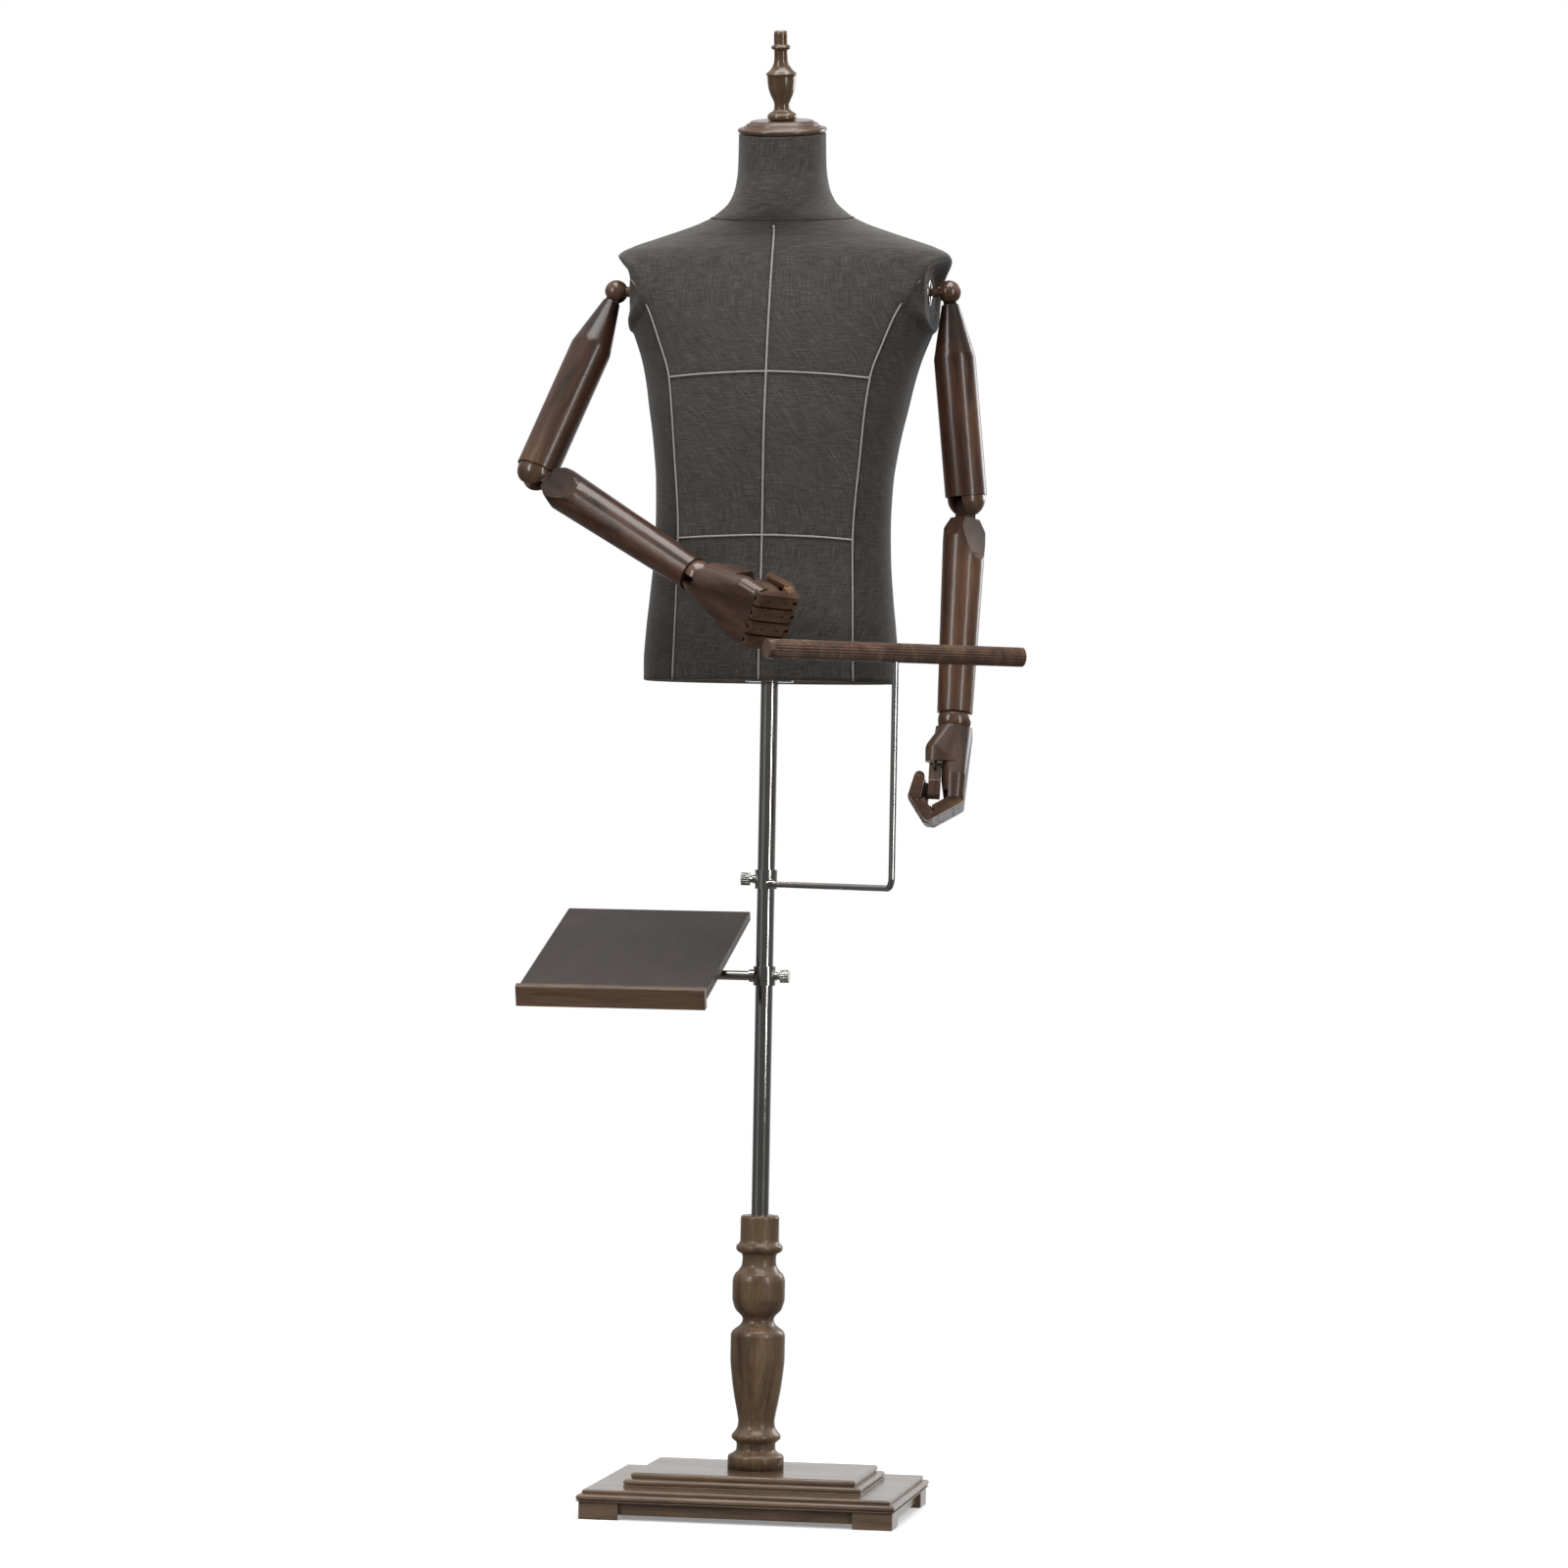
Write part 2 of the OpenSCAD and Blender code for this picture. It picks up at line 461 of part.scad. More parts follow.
// room for the next segment's round end, and for its underside when bent
module knuckle_room(w, r, under) {
  rotate([0, 90, 0]) translate([0, 0, -w / 2]) cylinder(r = r + gap, h = w);
  translate([-w / 2, -40, -under]) cube([w, 40, 60]);
}
module palm_body() {
  difference() {
    union() {
      hull() {
        translate([0, 0, 9]) cylinder(r = 23, h = 1, $fn = 40);
        translate([0, 0, 20]) cylinder(r = 24, h = 1, $fn = 40);
        for (x = [-1, 1]) translate([x * 29.5, 5, 72]) scale([1, 1.2, 1]) cylinder(r = 11.2, h = 2, $fn = 32);
        for (x = [-1, 1]) translate([x * 29.6, 5, 101]) scale([1, 1.16, 1]) cylinder(r = 10.8, h = 2, $fn = 32);
      }
      // ball of the thumb
      hull() {
        translate([13, -4, 16]) sphere(r = 14, $fn = 28);
        translate([20, -19, 41.5]) sphere(r = 15, $fn = 28);
        translate([22, -20, 53]) cylinder(r = 13, h = 4.4, $fn = 28);
        translate([24, 2, 56]) cylinder(r = 13.4, h = 1, $fn = 28);
      }
    }
    sphere(r = wrist_r + gap);
    translate([-60, -60, -31]) cube([120, 120, 40]);
    // flat above the ball of the thumb, so the thumb clears the palm
    translate([-60, -60, 57.6]) cube([120, 48.1, 80]);
    for (i = [0:3]) translate([fx(i), knuckle_y, knuckle_z]) knuckle_room(finger_w + 1.4, kr, kr + 2.6);
  }
}
module palm(s) {
  color(wood) hand(s) union() {
    palm_body();
    // tongue into the wrist ball
    difference() { translate([0, 0, 0]) rotate([0, 0, 0]) union() { rotate([0, 90, 0]) translate([0, 0, -6]) cylinder(r = 8, h = 12); translate([-6, -8, 0]) cube([12, 16, 26]); }
      rotate([0, 90, 0]) translate([0, 0, -20]) cylinder(r = wr_pin + fit, h = 40); }
    for (i = [0:3]) translate([fx(i), knuckle_y, knuckle_z]) tongue(4, 4, 14, 1.2 + fit);
    thumb_at() tongue(4, 4, 14, 1.2 + fit);
  }
}
// frame of the thumb: it swings across the front of the palm
module thumb_at() { translate([thumb_x, thumb_y, thumb_z]) rotate([0, 0, -90]) children(); }
// one segment from its own hinge at the origin to the next hinge at z = L
module segment(w, L, r, both = false) {
  difference() {
    rotate([90, 0, 90]) translate([0, 0, -w / 2]) linear_extrude(w) union() { circle(r = r); translate([-r, 0]) square([2 * r, L - 1]); }
    translate([0, 0, L]) knuckle_room(w + 2, r, r + 2.6);
    translate([-2.3, -r - 1, -r - 1]) cube([4.6, both ? 2 * r + 2 : r + 5.5, r + 7]);
  }
  rotate([0, 90, 0]) translate([0, 0, -w / 2 + 1]) cylinder(r = 1.2, h = w - 2);
  translate([0, 0, L]) tongue(4, 4, 14, 1.2 + fit);
}
module tip(w, L, r, hole = 1.2) {
  difference() {
    rotate([90, 0, 90]) translate([0, 0, -w / 2]) linear_extrude(w) union() {
      circle(r = r);
      polygon([[-r, 0], [-r + 1, L - r + 1], [r - 1, L - r + 1], [r, 0]]);
      translate([0, L - r + 1]) circle(r = r - 1);
    }
    translate([-2.3, -r - 1, -r - 1]) cube([4.6, r + 5.5, r + 7]);
  }
  rotate([0, 90, 0]) translate([0, 0, -w / 2 + 1]) cylinder(r = hole, h = w - 2);
}
module finger_proximal(s, i) { color(wood) hand(s) translate([fx(i), knuckle_y, knuckle_z]) rotate([mcp, 0, 0]) segment(finger_w, Lp * fl(i), kr); }
module finger_outer(s, i) {
  color(wood) hand(s) translate([fx(i), knuckle_y, knuckle_z]) rotate([mcp, 0, 0]) translate([0, 0, Lp * fl(i)]) rotate([pip, 0, 0]) {
    segment(finger_w - 0.6, Lm * fl(i), kr);
    translate([0, 0, Lm * fl(i)]) rotate([dip, 0, 0]) tip(finger_w - 0.8, Ld * fl(i), kr, 1.2);
  }
}
// length of each finger against the middle one
function fl(i) = [0.97, 1, 0.96, 0.84][i];
module thumb_base(s) { color(wood) hand(s) thumb_at() rotate([-thumb_out, 0, 0]) segment(15.4, Lt, thumb_r, true); }
module thumb_tip(s) { color(wood) hand(s) thumb_at() rotate([-thumb_out, 0, 0]) translate([0, 0, Lt]) rotate([10, 0, 0]) tip(15, 21, thumb_r, 1.2); }

module shoulder_plate_l() { shoulder_plate(1); }   module shoulder_plate_r() { shoulder_plate(-1); }
module shoulder_ball_l() { shoulder_ball(1); }     module shoulder_ball_r() { shoulder_ball(-1); }
module upper_arm_l() { upper_arm(1); }             module upper_arm_r() { upper_arm(-1); }
module elbow_ball_l() { elbow_ball(1); }           module elbow_ball_r() { elbow_ball(-1); }
module forearm_l() { forearm(1); }                 module forearm_r() { forearm(-1); }
module wrist_ball_l() { wrist_ball(1); }           module wrist_ball_r() { wrist_ball(-1); }
module palm_l() { palm(1); }                       module palm_r() { palm(-1); }
module index_proximal_l() { finger_proximal(1, 0); }   module index_proximal_r() { finger_proximal(-1, 0); }
module index_outer_l() { finger_outer(1, 0); }         module index_outer_r() { finger_outer(-1, 0); }
module middle_proximal_l() { finger_proximal(1, 1); }  module middle_proximal_r() { finger_proximal(-1, 1); }
module middle_outer_l() { finger_outer(1, 1); }        module middle_outer_r() { finger_outer(-1, 1); }
module ring_proximal_l() { finger_proximal(1, 2); }    module ring_proximal_r() { finger_proximal(-1, 2); }
module ring_outer_l() { finger_outer(1, 2); }          module ring_outer_r() { finger_outer(-1, 2); }
module little_proximal_l() { finger_proximal(1, 3); }  module little_proximal_r() { finger_proximal(-1, 3); }
module little_outer_l() { finger_outer(1, 3); }        module little_outer_r() { finger_outer(-1, 3); }
module thumb_base_l() { thumb_base(1); }               module thumb_base_r() { thumb_base(-1); }
module thumb_tip_l() { thumb_tip(1); }                 module thumb_tip_r() { thumb_tip(-1); }

base_feet();
base_apron();
base_lower_tier();
base_upper_tier();
base_bolt();
column();
pole();
rail_bush();
rail_collar();
rail_screw();
rail_bracket();
rail_bar();
tray_bush();
tray_collar();
tray_screw();
tray_arm();
tray_board();
tray_lip();
tray_pivot_block();
pole_socket();
torso_shell();
torso_cover();
torso_base_board();
torso_brace();
neck_cap();
finial();
shoulder_plate_l();
shoulder_ball_l();
upper_arm_l();
elbow_ball_l();
forearm_l();
wrist_ball_l();
palm_l();
index_proximal_l();
index_outer_l();
middle_proximal_l();
middle_outer_l();
ring_proximal_l();
ring_outer_l();
little_proximal_l();
little_outer_l();
thumb_base_l();
thumb_tip_l();
shoulder_plate_r();
shoulder_ball_r();
upper_arm_r();
elbow_ball_r();
forearm_r();
wrist_ball_r();
palm_r();
index_proximal_r();
index_outer_r();
middle_proximal_r();
middle_outer_r();
ring_proximal_r();
ring_outer_r();
little_proximal_r();
little_outer_r();
thumb_base_r();
thumb_tip_r();
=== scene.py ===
import bpy, bmesh, math
from mathutils import Vector, Matrix, Euler


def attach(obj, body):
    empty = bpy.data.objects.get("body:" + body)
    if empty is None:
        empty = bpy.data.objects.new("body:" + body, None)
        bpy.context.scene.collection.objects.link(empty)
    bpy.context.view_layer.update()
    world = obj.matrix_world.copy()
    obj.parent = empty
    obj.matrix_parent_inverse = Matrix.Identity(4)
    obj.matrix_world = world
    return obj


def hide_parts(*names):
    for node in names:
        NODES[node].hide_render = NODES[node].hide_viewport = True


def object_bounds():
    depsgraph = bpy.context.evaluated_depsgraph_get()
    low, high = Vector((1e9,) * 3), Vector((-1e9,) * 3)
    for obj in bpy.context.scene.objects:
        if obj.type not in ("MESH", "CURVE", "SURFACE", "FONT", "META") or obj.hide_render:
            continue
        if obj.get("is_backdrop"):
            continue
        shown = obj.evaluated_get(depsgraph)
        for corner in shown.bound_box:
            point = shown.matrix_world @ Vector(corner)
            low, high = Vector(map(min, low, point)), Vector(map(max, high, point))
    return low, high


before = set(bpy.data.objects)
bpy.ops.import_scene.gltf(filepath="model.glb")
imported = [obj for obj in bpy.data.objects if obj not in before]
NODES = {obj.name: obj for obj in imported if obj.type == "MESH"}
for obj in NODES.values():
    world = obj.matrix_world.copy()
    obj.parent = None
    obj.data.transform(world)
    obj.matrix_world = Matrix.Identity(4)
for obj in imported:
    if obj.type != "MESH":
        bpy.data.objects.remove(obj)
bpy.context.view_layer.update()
MM = 0.001


def lin(r, g, b):
    f = lambda c: c / 12.92 if c <= 0.04045 else ((c + 0.055) / 1.055) ** 2.4
    return (f(r / 255), f(g / 255), f(b / 255), 1.0)


# ------------------------------------------------------------------ node helpers
class Tree:
    def __init__(self, name):
        self.mat = bpy.data.materials.new(name)
        self.mat.use_nodes = True
        self.nt = self.mat.node_tree
        self.nt.nodes.clear()
        self.out = self.nt.nodes.new("ShaderNodeOutputMaterial")
        self.b = self.nt.nodes.new("ShaderNodeBsdfPrincipled")
        self.nt.links.new(self.b.outputs[0], self.out.inputs[0])
        self.tc = self.nt.nodes.new("ShaderNodeTexCoord")

    def new(self, kind, **kw):
        n = self.nt.nodes.new(kind)
        for k, v in kw.items():
            setattr(n, k, v)
        return n

    def link(self, a, b):
        self.nt.links.new(a, b)

    def set(self, **kw):
        for k, v in kw.items():
            self.b.inputs[k.replace("_", " ")].default_value = v

    def coords(self, axis=None, scale=(1, 1, 1), source="Object"):
        """object coordinates turned so that the axis runs along z, then scaled"""
        v = self.tc.outputs[source]
        if axis is not None:
            m = self.new("ShaderNodeMapping")
            q = Vector(axis).normalized().rotation_difference(Vector((0, 0, 1)))
            m.inputs["Rotation"].default_value = q.to_euler()
            self.link(v, m.inputs[0])
            v = m.outputs[0]
        s = self.new("ShaderNodeMapping")
        s.inputs["Scale"].default_value = scale
        self.link(v, s.inputs[0])
        return s.outputs[0]

    def noise(self, vec, scale, detail=4.0, rough=0.55, distort=0.0):
        n = self.new("ShaderNodeTexNoise")
        n.inputs["Scale"].default_value = scale
        n.inputs["Detail"].default_value = detail
        n.inputs["Roughness"].default_value = rough
        n.inputs["Distortion"].default_value = distort
        self.link(vec, n.inputs["Vector"])
        return n.outputs[0]

    def ramp(self, fac, stops, interp="LINEAR"):
        r = self.new("ShaderNodeValToRGB")
        r.color_ramp.interpolation = interp
        e = r.color_ramp.elements
        while len(e) < len(stops):
            e.new(0.5)
        for i, (p, c) in enumerate(stops):
            e[i].position = p
            e[i].color = c if len(c) == 4 else (*c, 1)
        self.link(fac, r.inputs[0])
        return r.outputs[0]

    def mix(self, a, b, fac, mode="MIX"):
        m = self.new("ShaderNodeMix", data_type="RGBA", blend_type=mode)
        if isinstance(fac, (int, float)):
            m.inputs[0].default_value = fac
        else:
            self.link(fac, m.inputs[0])
        self.link(a, m.inputs[6])
        self.link(b, m.inputs[7])
        return m.outputs[2]

    def math(self, op, a, b=None, clamp=False):
        m = self.new("ShaderNodeMath", operation=op, use_clamp=clamp)
        for i, v in enumerate((a, b)):
            if v is None:
                continue
            if isinstance(v, (int, float)):
                m.inputs[i].default_value = v
            else:
                self.link(v, m.inputs[i])
        return m.outputs[0]

    def grey(self, fac, lo, hi, a=0.3, b=0.7):
        """fac mapped from a..b to lo..hi"""
        m = self.new("ShaderNodeMapRange")
        m.inputs["From Min"].default_value = a
        m.inputs["From Max"].default_value = b
        m.inputs["To Min"].default_value = lo
        m.inputs["To Max"].default_value = hi
        self.link(fac, m.inputs["Value"])
        return m.outputs[0]

    def bump(self, height, strength, dist, prev=None):
        n = self.new("ShaderNodeBump")
        n.inputs["Strength"].default_value = strength
        n.inputs["Distance"].default_value = dist
        self.link(height, n.inputs["Height"])
        if prev is not None:
            self.link(prev, n.inputs["Normal"])
        return n.outputs[0]

    def pointiness(self):
        g = self.new("ShaderNodeNewGeometry")
        return g.outputs["Pointiness"]


def wood(name, axis, dark, mid, light, rough=0.3, coat=0.5, grain=1.0, blotch=0.5, edge=None, joint_shade_from=None, figure=0.0):
    """stained timber with its grain along the axis, under a varnish"""
    t = Tree(name)
    long = t.coords(axis, (1, 1, 0.05))
    broad = t.coords(axis, (1, 1, 0.22))
    fine = t.coords(axis, (1, 1, 0.025))
    streak = t.noise(long, 190 * grain, 6, 0.6, 1.2)
    blot = t.noise(broad, 26 * grain, 4, 0.6, 0.8)
    pores = t.noise(fine, 900 * grain, 3, 0.6)
    c1 = t.ramp(streak, [(0.30, dark), (0.47, mid), (0.62, mid), (0.78, light)])
    c2 = t.ramp(blot, [(0.28, dark), (0.5, mid), (0.74, light)])
    col = t.mix(c1, c2, blotch)
    pr = t.ramp(pores, [(0.34, (0.42, 0.40, 0.38, 1)), (0.46, (1, 1, 1, 1))])
    col = t.mix(col, pr, 0.55, "MULTIPLY")
    if figure:
        # broad bands of the timber that took the stain unevenly
        fg = t.noise(t.coords(axis, (1, 1, 0.16)), 34, 3, 0.55, 1.6)
        band = t.ramp(fg, [(0.34, (0.36, 0.34, 0.32, 1)), (0.47, (0.95, 0.94, 0.92, 1)), (0.60, (1.25, 1.16, 1.05, 1)), (0.70, (0.72, 0.68, 0.64, 1))])
        col = t.mix(col, band, figure, "MULTIPLY")
    # painted shade: the wood is darkened over about 85 mm below the joint above, where the shoulder or elbow shades
    # it
    if joint_shade_from is not None:
        dot = t.new("ShaderNodeVectorMath", operation="DOT_PRODUCT")
        t.link(t.tc.outputs["Object"], dot.inputs[0])
        dot.inputs[1].default_value = tuple(axis)
        joint_shade = t.grey(dot.outputs["Value"], 0.0, 1.0, joint_shade_from, joint_shade_from + 0.085)
        col = t.mix(col, t.ramp(joint_shade, [(0.0, (0.30, 0.28, 0.27, 1)), (0.45, (0.48, 0.45, 0.43, 1)), (1.0, (1, 1, 1, 1))]), 1.0, "MULTIPLY")
    if edge is not None:
        # handling has rubbed the stain thinner along the edges
        w = t.grey(t.pointiness(), 0.0, 1.0, 0.515, 0.57)
        wn = t.math("MULTIPLY", w, t.grey(t.noise(broad, 90, 3), 0.2, 1.0), clamp=True)
        e = t.ramp(streak, [(0.3, edge[0]), (0.7, edge[1])])
        col = t.mix(col, e, wn)
    t.link(col, t.b.inputs["Base Color"])
    t.link(t.grey(blot, rough - 0.06, rough + 0.10), t.b.inputs["Roughness"])
    n = t.bump(pores, 0.05, 0.00006)
    t.link(n, t.b.inputs["Normal"])
    t.set(Coat_Weight=coat, Coat_Roughness=0.17, Specular_IOR_Level=0.35)
    return t.mat


def chrome(name, tint=(0.66, 0.645, 0.62), rough=0.07):
    t = Tree(name)
    v = t.coords(None, (1, 1, 1))
    n1 = t.noise(v, 30, 4)
    n2 = t.noise(t.coords(None, (1, 1, 0.05)), 1600, 2)
    t.link(t.ramp(n1, [(0.3, (*[c * 0.93 for c in tint], 1)), (0.7, (*tint, 1))]), t.b.inputs["Base Color"])
    t.link(t.grey(n1, rough * 0.7, rough * 1.5), t.b.inputs["Roughness"])
    t.link(t.bump(n2, 0.03, 0.0001), t.b.inputs["Normal"])
    t.set(Metallic=1.0)
    return t.mat


def plastic(name, a, b, rough=0.4):
    t = Tree(name)
    n1 = t.noise(t.coords(None, (1, 1, 1)), 220, 4)
    t.link(t.ramp(n1, [(0.3, a), (0.7, b)]), t.b.inputs["Base Color"])
    t.link(t.grey(n1, rough - 0.05, rough + 0.08), t.b.inputs["Roughness"])
    t.link(t.bump(n1, 0.08, 0.0003), t.b.inputs["Normal"])
    return t.mat


# ------------------------------------------------------------------ arm geometry, metres
S = {"l": Vector((214.5, 40, 1543)), "r": Vector((-214.5, 40, 1543))}
E = {"l": Vector((240.5, 43, 1282.3)), "r": Vector((-298, -39, 1307.4))}
W = {"l": Vector((237, -5, 1000.4)), "r": Vector((-68, -140, 1171))}
D1 = {k: (E[k] - S[k]).normalized() for k in "lr"}
D2 = {k: (W[k] - E[k]).normalized() for k in "lr"}


def perp(v, d):
    v = Vector(v)
    return (v - v.dot(d) * d).normalized()


PN = {"l": perp((-1, -0.12, 0), D2["l"]), "r": perp((0.50, 0.84, 0.22), D2["r"])}
HX = {k: (-PN[k]).cross(D2[k]) for k in "lr"}

DK, MD, LT = lin(32, 20, 15), lin(72, 47, 34), lin(122, 88, 62)
HDK, HMD, HLT = lin(33, 22, 17), lin(67, 47, 36), lin(104, 76, 57)
BDK, BMD, BLT = lin(46, 31, 25), lin(88, 64, 49), lin(134, 104, 80)
EDG = (lin(128, 98, 70), lin(160, 128, 94))

MATS = {
    "base": wood("base_gloss_wood", (1, 0, 0), lin(56, 44, 36), lin(98, 81, 67), lin(132, 112, 93), 0.26, 0.7, 0.8, 0.45, (lin(112, 92, 74), lin(140, 118, 96)), None, 0.35),
    "column": wood("column_taupe_wood", (0, 0, 1), lin(66, 51, 38), lin(108, 87, 66), lin(142, 119, 92), 0.36, 0.35, 0.9, 0.5, None, None, 0.55),
    "bar": wood("bar_wood", (math.sin(math.radians(53.3)), math.cos(math.radians(53.3)), 0), lin(52, 38, 31), lin(98, 74, 60), lin(140, 112, 92), 0.34, 0.4, 1.1, 0.4),
    "lip": wood("tray_lip_wood", (1, 0, 0), lin(66, 50, 39), lin(106, 83, 66), lin(140, 114, 90), 0.36, 0.35, 1.0, 0.45),
    "tray": wood("tray_top_wood", (0, 1, 0), lin(50, 44, 41), lin(64, 57, 53), lin(80, 72, 67), 0.5, 0.12, 1.2, 0.35),
    "inner": wood("inner_plywood", (1, 0, 0), lin(140, 112, 80), lin(176, 146, 108), lin(202, 176, 136), 0.6, 0.0, 1.0, 0.4),
    "cap": wood("cap_wood", (1, 0.2, 0), lin(58, 43, 35), lin(90, 69, 56), lin(118, 94, 78), 0.26, 0.6, 0.9, 0.45),
    "finial": wood("finial_wood", (0, 0, 1), lin(54, 40, 27), lin(96, 75, 54), lin(130, 106, 78), 0.2, 0.7, 1.0, 0.4),
    "chrome": chrome("chrome_plate"),
    "steel": chrome("zinc_steel", (0.55, 0.55, 0.54), 0.3),
    "knob": chrome("bright_nickel", (0.86, 0.85, 0.82), 0.2),
    "nylon": plastic("nylon_liner", lin(214, 212, 204), lin(232, 230, 222)),
    "shell": plastic("shell_composite", lin(128, 120, 108), lin(152, 144, 130), 0.6),
}
for k in "lr":
    # upper arms get painted shade below the shoulder, forearms below the elbow
    MATS["up" + k] = wood("upper_arm_wood_" + k, D1[k], DK, MD, LT, 0.34, 0.5, 0.75, 0.55, None, D1[k].dot(S[k]) * 0.001 + 0.02, 0.8)
    MATS["fo" + k] = wood("forearm_wood_" + k, D2[k], DK, MD, LT, 0.34, 0.5, 0.75, 0.55, None, D2[k].dot(E[k]) * 0.001 + 0.005, 0.8)
    MATS["ha" + k] = wood("hand_wood_" + k, D2[k], HDK, HMD, HLT, 0.38, 0.4, 0.9, 0.6, None, None, 0.5)
    MATS["fi" + k] = wood("finger_wood_" + k, HX[k].cross(D2[k]), HDK, lin(74, 51, 38), lin(112, 84, 62), 0.30, 0.5, 1.6, 0.5, EDG)
    MATS["ba" + k] = wood("ball_wood_" + k, HX[k], BDK, BMD, BLT, 0.22, 0.7, 1.4, 0.5)


def material_for(n):
    k = n[-1]
    if n == "base_bolt":
        return MATS["steel"]
    if n.startswith("base_"):
        return MATS["base"]
    if n in ("rail_screw", "tray_screw"):
        return MATS["knob"]
    if n in ("rail_bush", "tray_bush"):
        return MATS["nylon"]
    if n in ("pole", "rail_collar", "rail_bracket", "tray_collar", "tray_arm", "pole_socket") or n.startswith("shoulder_plate"):
        return MATS["chrome"]
    table = {"column": "column", "rail_bar": "bar", "tray_board": "tray", "tray_lip": "lip", "tray_pivot_block": "lip", "torso_shell": "shell",
             "torso_cover": "shell", "torso_base_board": "inner", "torso_brace": "inner", "neck_cap": "cap", "finial": "finial"}
    if n in table:
        return MATS[table[n]]
    if "_ball_" in n:
        return MATS["ba" + k]
    if n.startswith("upper_arm"):
        return MATS["up" + k]
    if n.startswith("forearm"):
        return MATS["fo" + k]
    if n.startswith("palm") or n.startswith("thumb"):
        return MATS["ha" + k]
    return MATS["fi" + k]


def smooth_bevel(o, width, angle=32, segs=3):
    m = o.modifiers.new("weld", "WELD")
    m.merge_threshold = 0.000004
    if width:
        b = o.modifiers.new("soft_edge", "BEVEL")
        b.width = width
        b.segments = segs
        b.limit_method = "ANGLE"
        b.angle_limit = math.radians(angle)
        b.use_clamp_overlap = True
        b.harden_normals = False
        b.miter_outer = "MITER_ARC"
    w = o.modifiers.new("even_normals", "WEIGHTED_NORMAL")
    w.keep_sharp = False
    w.weight = 60


for n, o in NODES.items():
    o.data.materials.clear()
    o.data.materials.append(material_for(n))
    if "custom_normal" in o.data.attributes:
        o.data.attributes.remove(o.data.attributes["custom_normal"])
    if "sharp_edge" in o.data.attributes:
        o.data.attributes.remove(o.data.attributes["sharp_edge"])
    o.data.shade_smooth()
    width = 0.0
    if "_proximal_" in n or "_outer_" in n or n.startswith("thumb"):
        width = 0.0010
    elif n.startswith("palm"):
        width = 0.0007
    elif n.startswith(("upper_arm", "forearm")):
        width = 0.0009
    elif n in ("tray_board", "tray_lip", "tray_pivot_block", "base_feet", "base_apron"):
        width = 0.0012
    elif "_ball_" in n:
        width = 0.0005
    elif n in ("rail_bar", "rail_collar", "tray_collar", "rail_bush", "tray_bush", "tray_arm", "neck_cap", "base_lower_tier", "base_upper_tier"):
        width = 0.0005
    smooth_bevel(o, width)

# ------------------------------------------------------------------ the fabric cover
TORSO = [[1045, 160, -88, 99, 2.25, 0], [1070, 160.5, -89, 100, 2.25, 0], [1114, 157.5, -88, 95, 2.25, 0], [1150, 154, -85, 89, 2.2, 0],
         [1200, 150, -81, 86, 2.2, 0], [1250, 148.5, -80, 90, 2.2, 0], [1300, 150, -81, 100, 2.2, 0], [1336, 154, -81, 113, 2.2, 0],
         [1366, 158.5, -80, 126, 2.25, 0], [1395, 164, -77, 138, 2.3, 0], [1425, 169.5, -73, 149, 2.3, 0], [1455, 177, -69, 157, 2.3, 0],
         [1485, 188, -64, 161, 2.3, 0], [1510, 198, -59, 162, 2.3, 0], [1535, 206, -53, 159, 2.3, 0], [1560, 213, -46, 152, 2.25, 0],
         [1578, 216, -41, 144, 2.2, 0], [1590, 211, -37, 137, 2.1, 0], [1600, 192, -34, 130, 1.95, 1], [1610, 162, -32, 123, 1.85, 2],
         [1620, 131, -32, 116, 1.85, 4], [1630, 103, -33, 109, 1.9, 6], [1642, 81, -35, 102, 2, 8], [1656, 66, -36, 96, 2, 10],
         [1675, 58, -35, 90, 2, 11], [1700, 54.8, -31, 82, 2, 12], [1743, 54, -32, 76, 2, 12]]


def slope(T, i, c):
    return (T[i + 1][c] - T[i][c]) / (T[i + 1][0] - T[i][0])


def tang(T, i, c):
    if i == 0:
        return slope(T, 0, c)
    if i == len(T) - 1:
        return slope(T, i - 1, c)
    a, b = slope(T, i - 1, c), slope(T, i, c)
    return 0 if a * b <= 0 else 2 * a * b / (a + b)


def interp(T, z, c):
    i = 0
    while i < len(T) - 2 and z >= T[i + 1][0]:
        i += 1
    h = T[i + 1][0] - T[i][0]
    t = (z - T[i][0]) / h
    m0, m1 = tang(T, i, c) * h, tang(T, i + 1, c) * h
    return (2 * t ** 3 - 3 * t * t + 1) * T[i][c] + (t ** 3 - 2 * t * t + t) * m0 + (3 * t * t - 2 * t ** 3) * T[i + 1][c] + (t ** 3 - t * t) * m1


def smooth(t):
    u = max(0.0, min(1.0, t))
    return u * u * (3 - 2 * u)


def recess(y, z):
    return smooth((1.45 - math.sqrt(((y - 40) / 50) ** 2 + ((z - 1540) / 36) ** 2)) / 0.5)


def surf(w, z, e=1.25):
    """point of the cover at angle w (degrees) on the ring at height z, in mm"""
    dz = -e * smooth((z - 1470) / 110)
    q = min(1743, max(1045, z + dz))
    a, f, b, n, t = interp(TORSO, q, 1) + e, interp(TORSO, q, 2) - e, interp(TORSO, q, 3) + e, interp(TORSO, q, 4), interp(TORSO, q, 5)
    c, h = (f + b) / 2, (b - f) / 2
    cw, sw = math.cos(math.radians(w)), math.sin(math.radians(w))
    x0 = a * math.copysign(abs(cw) ** (2 / n), cw)
    y = c + h * math.copysign(abs(sw) ** (2 / n), sw)
    ax = abs(x0)
    x = math.copysign(ax - max(0, ax - 186 - e) * recess(y, z), x0)
    return Vector((x, y, z + (y - c) * math.tan(math.radians(t))))


def table(T, v):
    if v <= T[0][0]:
        return T[0][1]
    if v >= T[-1][0]:
        return T[-1][1]
    return interp(T, v, 1)


